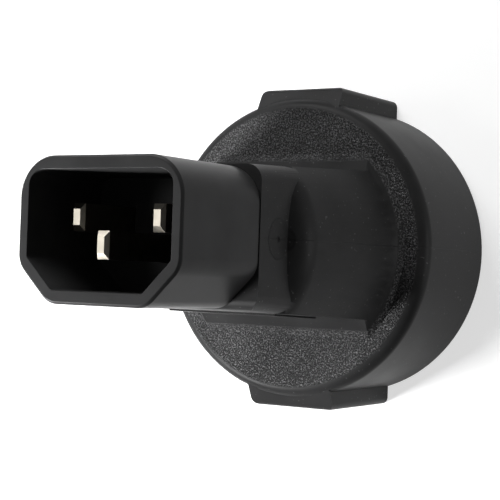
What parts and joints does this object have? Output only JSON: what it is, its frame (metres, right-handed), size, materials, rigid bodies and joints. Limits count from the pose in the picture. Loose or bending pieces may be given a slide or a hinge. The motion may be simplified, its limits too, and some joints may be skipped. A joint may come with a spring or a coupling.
{
  "type": "power plug adapter",
  "caption": "Black moulded mains adapter with a flat-pin appliance plug at its narrow end and a round earthed socket at its wide end.",
  "frame": {"origin": "centre of the socket's open rim, which the part stands on", "axes": "+Z is the long axis, from the socket's rim to the mouth of the plug. The ears over the earth clips point along +Y and -Y, the socket's pin holes lie along X, and the plug's earth pin is towards -Y."},
  "size_m": [0.0506, 0.0544, 0.0765],
  "materials": {
    "body_plastic": "satin black, the drum's front face finely textured",
    "insert_plastic": "smooth satin black",
    "socket_plastic": "matt black",
    "housing_plastic": "natural nylon",
    "pin_metal": "nickel plated brass",
    "brass": "bare brass",
    "spring_steel": "spring steel",
    "strap_metal": "nickel plated strip",
    "copper": "bare copper",
    "brown_sheath": "soft sheath",
    "blue_sheath": "soft sheath",
    "green_sheath": "soft sheath"
  },
  "bodies": {
    "root": {"body_moulding": "body_plastic", "plug_insert": "insert_plastic", "pin_line": "pin_metal", "pin_neutral": "pin_metal", "pin_earth": "pin_metal", "pin_retainer": "insert_plastic", "socket_insert": "socket_plastic", "socket_floor": "socket_plastic", "contact_housing": "housing_plastic", "contact_line": "brass", "contact_neutral": "brass", "spring_line": "spring_steel", "spring_neutral": "spring_steel", "earth_strap": "strap_metal", "conductor_line": "copper", "conductor_neutral": "copper", "conductor_earth": "copper", "insulation_line": "brown_sheath", "insulation_neutral": "blue_sheath", "insulation_earth": "green_sheath"}
  },
  "joints": []
}
